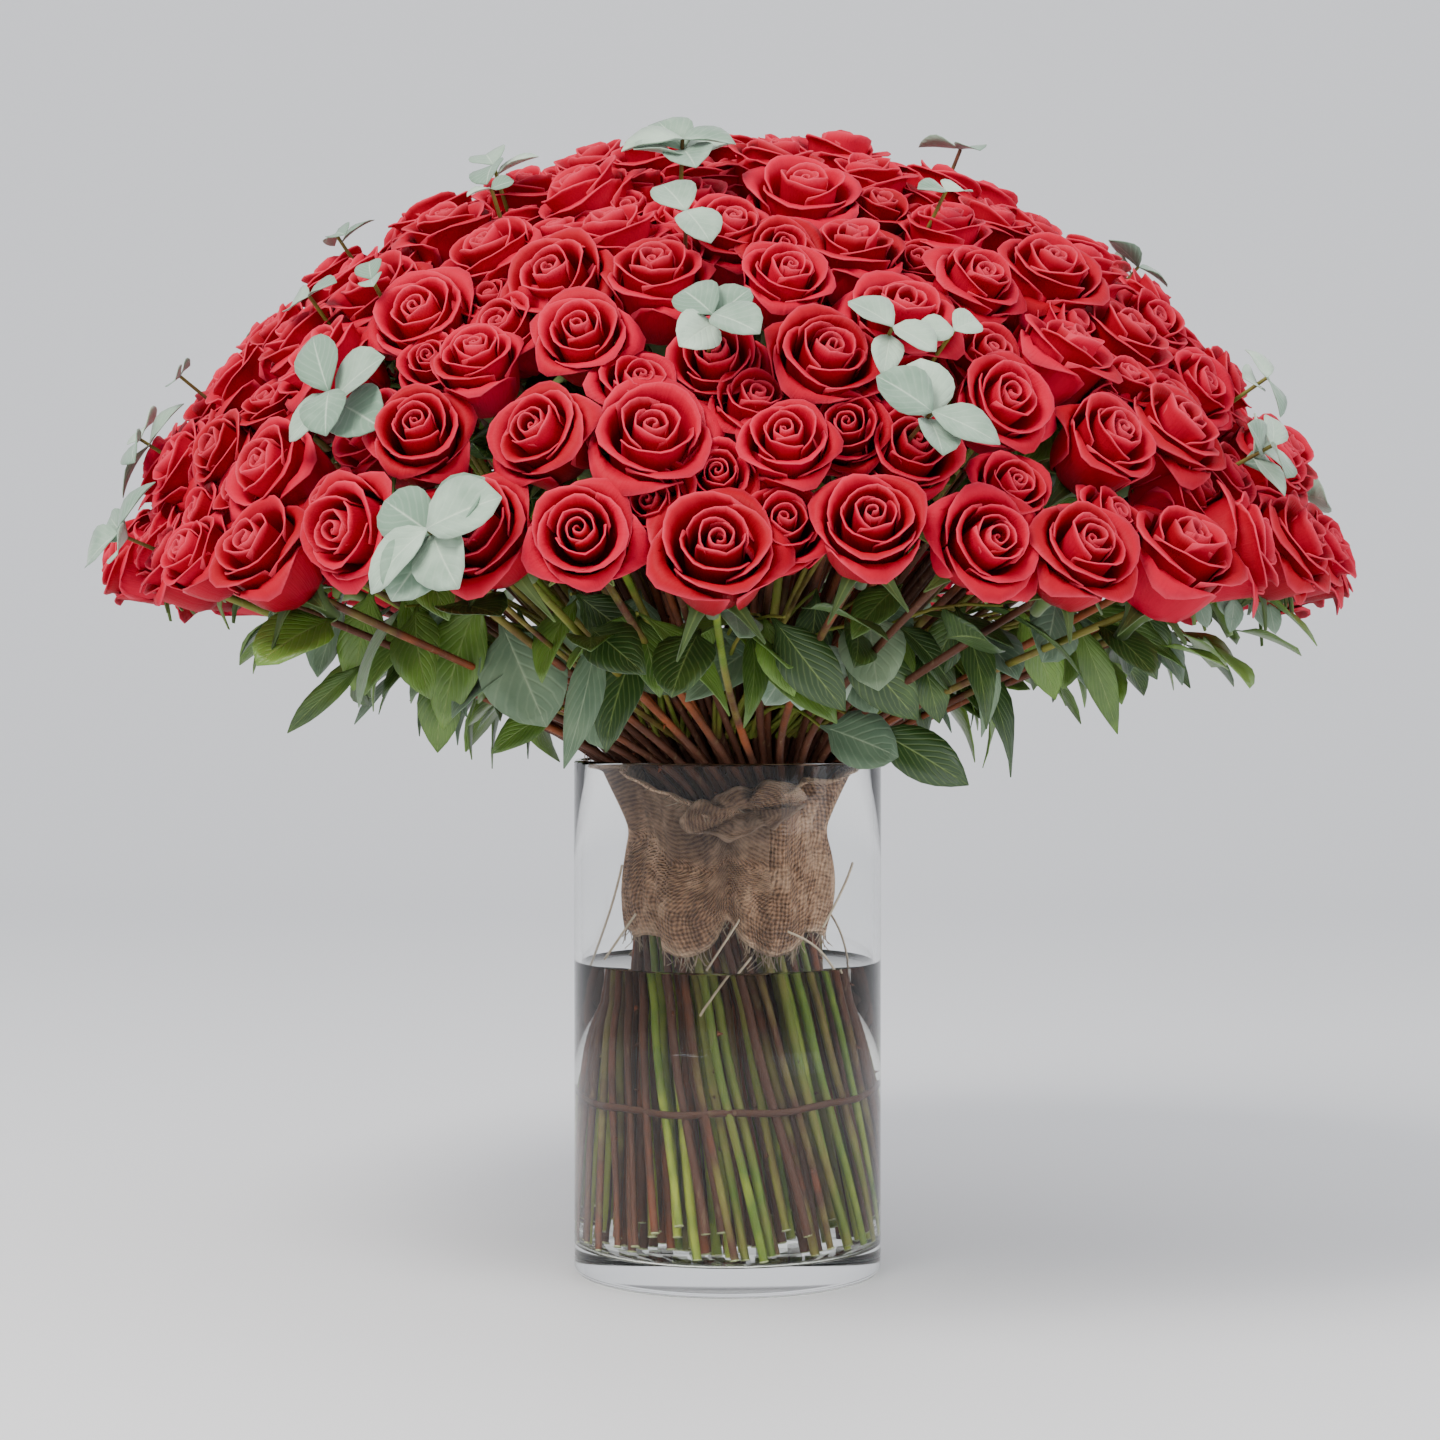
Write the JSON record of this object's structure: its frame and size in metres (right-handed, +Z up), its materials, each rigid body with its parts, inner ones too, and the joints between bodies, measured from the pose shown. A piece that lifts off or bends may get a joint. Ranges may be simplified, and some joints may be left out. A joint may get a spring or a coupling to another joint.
{
  "type": "roses in a vase",
  "caption": "A full dome of open red roses with silver-dollar eucalyptus and leafy sprays, wrapped in burlap and standing in a clear cylindrical glass vase of water",
  "frame": {"origin": "centre of the vase's flat underside, on the surface it stands on", "axes": "+Z up, along the vase's axis; front towards -Y; +X to the right seen from the front"},
  "size_m": [0.5993, 0.6009, 0.5508],
  "materials": {
    "glass": "polished",
    "water": "gloss",
    "burlap": "matte",
    "twine": "matte",
    "stems": "satin",
    "petals": "matte",
    "eucalyptus": "matte",
    "leaves": "satin"
  },
  "bodies": {
    "root": {"glass_vase": "glass", "water": "water", "burlap_wrap": "burlap", "binding_band": "twine", "stem_bundle_01": "stems", "stem_bundle_02": "stems", "stem_bundle_03": "stems", "stem_bundle_04": "stems", "stem_bundle_05": "stems", "stem_bundle_06": "stems", "stem_bundle_07": "stems", "stem_bundle_08": "stems", "stem_bundle_09": "stems", "stem_bundle_10": "stems", "stem_bundle_11": "stems", "stem_bundle_12": "stems", "stem_bundle_13": "stems", "stem_bundle_14": "stems", "stem_bundle_15": "stems", "stem_bundle_16": "stems", "stem_bundle_17": "stems", "stem_bundle_18": "stems", "stem_bundle_19": "stems", "rose_cluster_01": "petals", "rose_cluster_02": "petals", "rose_cluster_03": "petals", "rose_cluster_04": "petals", "rose_cluster_05": "petals", "rose_cluster_06": "petals", "rose_cluster_07": "petals", "rose_cluster_08": "petals", "rose_cluster_09": "petals", "rose_cluster_10": "petals", "rose_cluster_11": "petals", "rose_cluster_12": "petals", "rose_cluster_13": "petals", "rose_cluster_14": "petals", "rose_cluster_15": "petals", "rose_cluster_16": "petals", "rose_cluster_17": "petals", "rose_cluster_18": "petals", "rose_cluster_19": "petals", "eucalyptus_sprig_01": "eucalyptus", "eucalyptus_sprig_02": "eucalyptus", "eucalyptus_sprig_03": "eucalyptus", "eucalyptus_sprig_04": "eucalyptus", "eucalyptus_sprig_05": "eucalyptus", "eucalyptus_sprig_06": "eucalyptus", "eucalyptus_sprig_07": "eucalyptus", "eucalyptus_sprig_08": "eucalyptus", "foliage_spray_01": "leaves", "foliage_spray_02": "leaves", "foliage_spray_03": "leaves", "foliage_spray_04": "leaves", "foliage_spray_05": "leaves", "foliage_spray_06": "leaves", "foliage_spray_07": "leaves", "foliage_spray_08": "leaves"}
  },
  "joints": []
}
